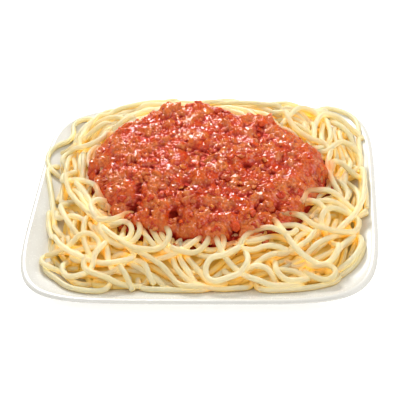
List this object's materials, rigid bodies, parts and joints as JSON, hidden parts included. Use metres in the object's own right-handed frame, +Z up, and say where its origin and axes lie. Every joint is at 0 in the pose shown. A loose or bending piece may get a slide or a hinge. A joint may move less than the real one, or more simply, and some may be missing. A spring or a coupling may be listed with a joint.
{
  "type": "plate of spaghetti bolognese",
  "caption": "Square white plate with a heap of cooked spaghetti and a thick meat and tomato sauce over its middle.",
  "frame": {"origin": "middle of the plate's foot, on the table", "axes": "+Z up, +Y from the diner's side towards the far side of the plate, +X to the diner's right"},
  "size_m": [0.18, 0.18, 0.0454],
  "materials": {
    "glazed_ceramic": "white glazed porcelain, smooth and glossy; gloss_plastic stands in for it",
    "cooked_pasta": "cooked spaghetti, pale cream yellow with a moist sheen; gloss_plastic stands in for it",
    "meat_sauce": "thick tomato and minced meat sauce, wet and lumpy; gloss_plastic stands in for it"
  },
  "bodies": {
    "root": {"plate": "glazed_ceramic", "spaghetti": "cooked_pasta", "bolognese_sauce": "meat_sauce"}
  },
  "joints": []
}
